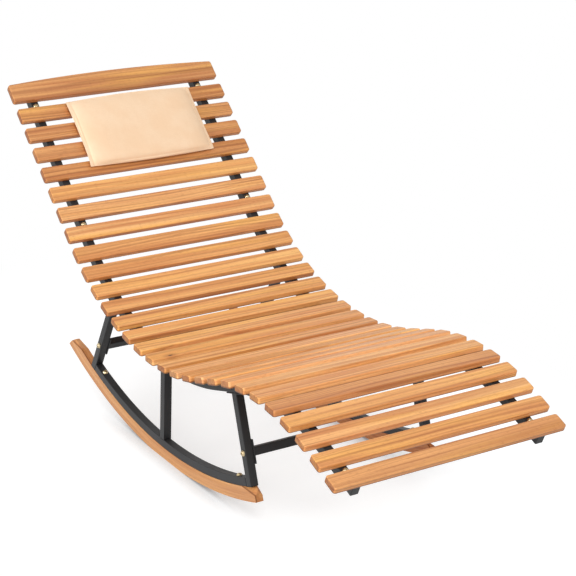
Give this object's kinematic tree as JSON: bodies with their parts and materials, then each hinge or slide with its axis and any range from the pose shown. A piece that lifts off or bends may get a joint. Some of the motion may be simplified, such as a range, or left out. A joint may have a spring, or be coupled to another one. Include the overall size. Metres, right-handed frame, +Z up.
{
  "type": "rocking chaise lounge",
  "caption": "Reclined rocking lounge with an S-curved bed of hardwood slats on bent steel rails, carried on two bow rockers with wooden shoes, with a thin removable headrest pillow.",
  "frame": {"origin": "on the floor, under the middle of the whole lounge", "axes": "+X along the lounge from the head end to the foot end, +Y to the sitter's left, +Z up"},
  "size_m": [1.5576, 0.6, 0.7718],
  "materials": {
    "slat_wood": "satin",
    "shoe_wood": "satin",
    "frame_steel": "satin",
    "bolt_brass": "polished",
    "pillow_cloth": "matte",
    "strap_webbing": "matte"
  },
  "bodies": {
    "lounge": {"headboard": "slat_wood", "slat_02": "slat_wood", "slat_03": "slat_wood", "slat_04": "slat_wood", "slat_05": "slat_wood", "slat_06": "slat_wood", "slat_07": "slat_wood", "slat_08": "slat_wood", "slat_09": "slat_wood", "slat_10": "slat_wood", "slat_11": "slat_wood", "slat_12": "slat_wood", "slat_13": "slat_wood", "slat_14": "slat_wood", "slat_15": "slat_wood", "slat_16": "slat_wood", "slat_17": "slat_wood", "slat_18": "slat_wood", "slat_19": "slat_wood", "slat_20": "slat_wood", "slat_21": "slat_wood", "slat_22": "slat_wood", "slat_23": "slat_wood", "slat_24": "slat_wood", "slat_25": "slat_wood", "slat_26": "slat_wood", "slat_27": "slat_wood", "slat_28": "slat_wood", "slat_29": "slat_wood", "rail_right": "frame_steel", "rail_left": "frame_steel", "rocker_tube_right": "frame_steel", "rocker_tube_left": "frame_steel", "rocker_shoe_right": "shoe_wood", "rocker_shoe_left": "shoe_wood", "rear_leg_right": "frame_steel", "rear_leg_left": "frame_steel", "middle_leg_right": "frame_steel", "middle_leg_left": "frame_steel", "front_leg_right": "frame_steel", "front_leg_left": "frame_steel", "rear_stretcher": "frame_steel", "front_stretcher": "frame_steel", "rail_bolt_head_right": "bolt_brass", "rail_bolt_head_left": "bolt_brass", "rail_bolt_back_right": "bolt_brass", "rail_bolt_back_left": "bolt_brass", "rail_bolt_foot_right": "bolt_brass", "rail_bolt_foot_left": "bolt_brass", "rocker_bolt_rear_right": "bolt_brass", "rocker_bolt_rear_left": "bolt_brass", "rocker_bolt_front_right": "bolt_brass", "rocker_bolt_front_left": "bolt_brass", "stretcher_bolt_rear_right": "bolt_brass", "stretcher_bolt_rear_left": "bolt_brass", "stretcher_bolt_front_right": "bolt_brass", "stretcher_bolt_front_left": "bolt_brass", "pillow_strap_right": "strap_webbing", "pillow_strap_left": "strap_webbing"},
    "pillow": {"headrest_pillow": "pillow_cloth"}
  },
  "joints": [
    {"name": "pillow_lift_off", "type": "slide", "parent": "lounge", "child": "pillow", "axis": [0.6769, 0, 0.7361], "range_m": [0, 0.3]}
  ]
}
